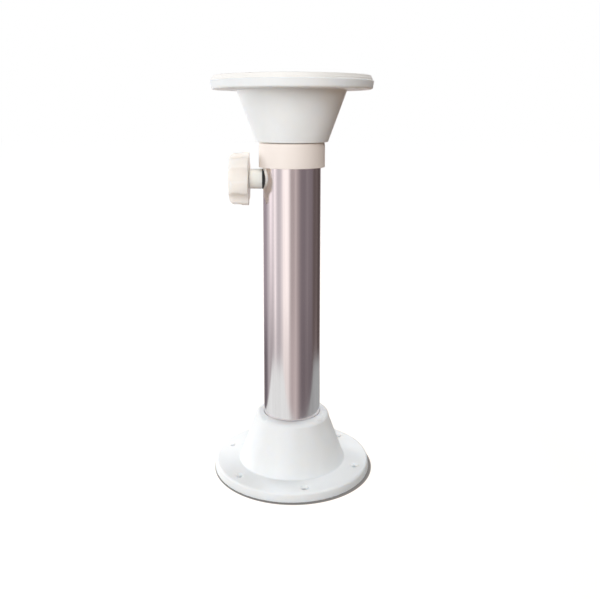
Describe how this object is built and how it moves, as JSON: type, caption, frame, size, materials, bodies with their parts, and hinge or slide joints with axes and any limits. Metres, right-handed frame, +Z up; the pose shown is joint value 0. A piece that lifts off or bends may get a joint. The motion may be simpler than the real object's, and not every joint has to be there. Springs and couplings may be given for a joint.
{
  "type": "telescopic table pedestal",
  "caption": "Telescopic boat table pedestal: polished tube in a white conical foot, sliding inner tube with matching table flange, side clamp knob.",
  "frame": {"origin": "centre of the foot's underside, on the floor", "axes": "+Z up the tubes towards the table, the clamp knob points towards -X"},
  "size_m": [0.1658, 0.1656, 0.415],
  "materials": {
    "white_moulding": "satin white moulded plastic",
    "cream_moulding": "satin cream moulded plastic",
    "polished_aluminium": "polished and clear anodised, drawn lengthwise",
    "natural_nylon": "natural nylon",
    "stainless_steel": "plain stainless",
    "brass": "turned",
    "black_rubber": "moulded"
  },
  "bodies": {
    "pedestal": {"base_flange": "white_moulding", "base_plug": "natural_nylon", "base_plug_screws": "stainless_steel", "base_plug_nut": "stainless_steel", "base_tie_washer": "stainless_steel", "base_tie_bolt": "stainless_steel", "outer_tube": "polished_aluminium", "guide_collar": "cream_moulding", "saddle_washer": "black_rubber", "clamp_boss": "white_moulding", "clamp_insert": "brass"},
    "guide": {"lower_guide": "natural_nylon"},
    "mast": {"inner_tube": "polished_aluminium", "lower_snap_ring": "stainless_steel", "upper_snap_ring": "stainless_steel", "top_flange": "white_moulding", "top_reducer": "natural_nylon", "top_plug": "natural_nylon", "top_plug_screws": "stainless_steel", "top_plug_nut": "stainless_steel", "top_tie_washer": "stainless_steel", "top_tie_bolt": "stainless_steel", "table_plate": "cream_moulding", "table_plate_screws": "stainless_steel"},
    "pad": {"clamp_pad": "natural_nylon"},
    "knob": {"clamp_stud": "stainless_steel", "clamp_knob": "cream_moulding"}
  },
  "joints": [
    {"name": "mast_slide", "type": "slide", "parent": "pedestal", "child": "guide", "axis": [0, 0, 1], "range_m": [0, 0.2215]},
    {"name": "mast_swivel", "type": "hinge", "parent": "guide", "child": "mast", "pos_m": [0, 0, 0.06], "axis": [0, 0, 1], "continuous": true},
    {"name": "pad_slide", "type": "slide", "parent": "pedestal", "child": "pad", "axis": [-1, 0, 0], "range_m": [0, 0.003]},
    {"name": "knob_turn", "type": "hinge", "parent": "pad", "child": "knob", "pos_m": [-0.0556, 0, 0.31055], "axis": [-1, 0, 0], "range_deg": [0, 720]}
  ],
  "couplings": [
    {"joint": "pad_slide", "follows": "knob_turn", "m_per_rad": 0.00023873}
  ]
}
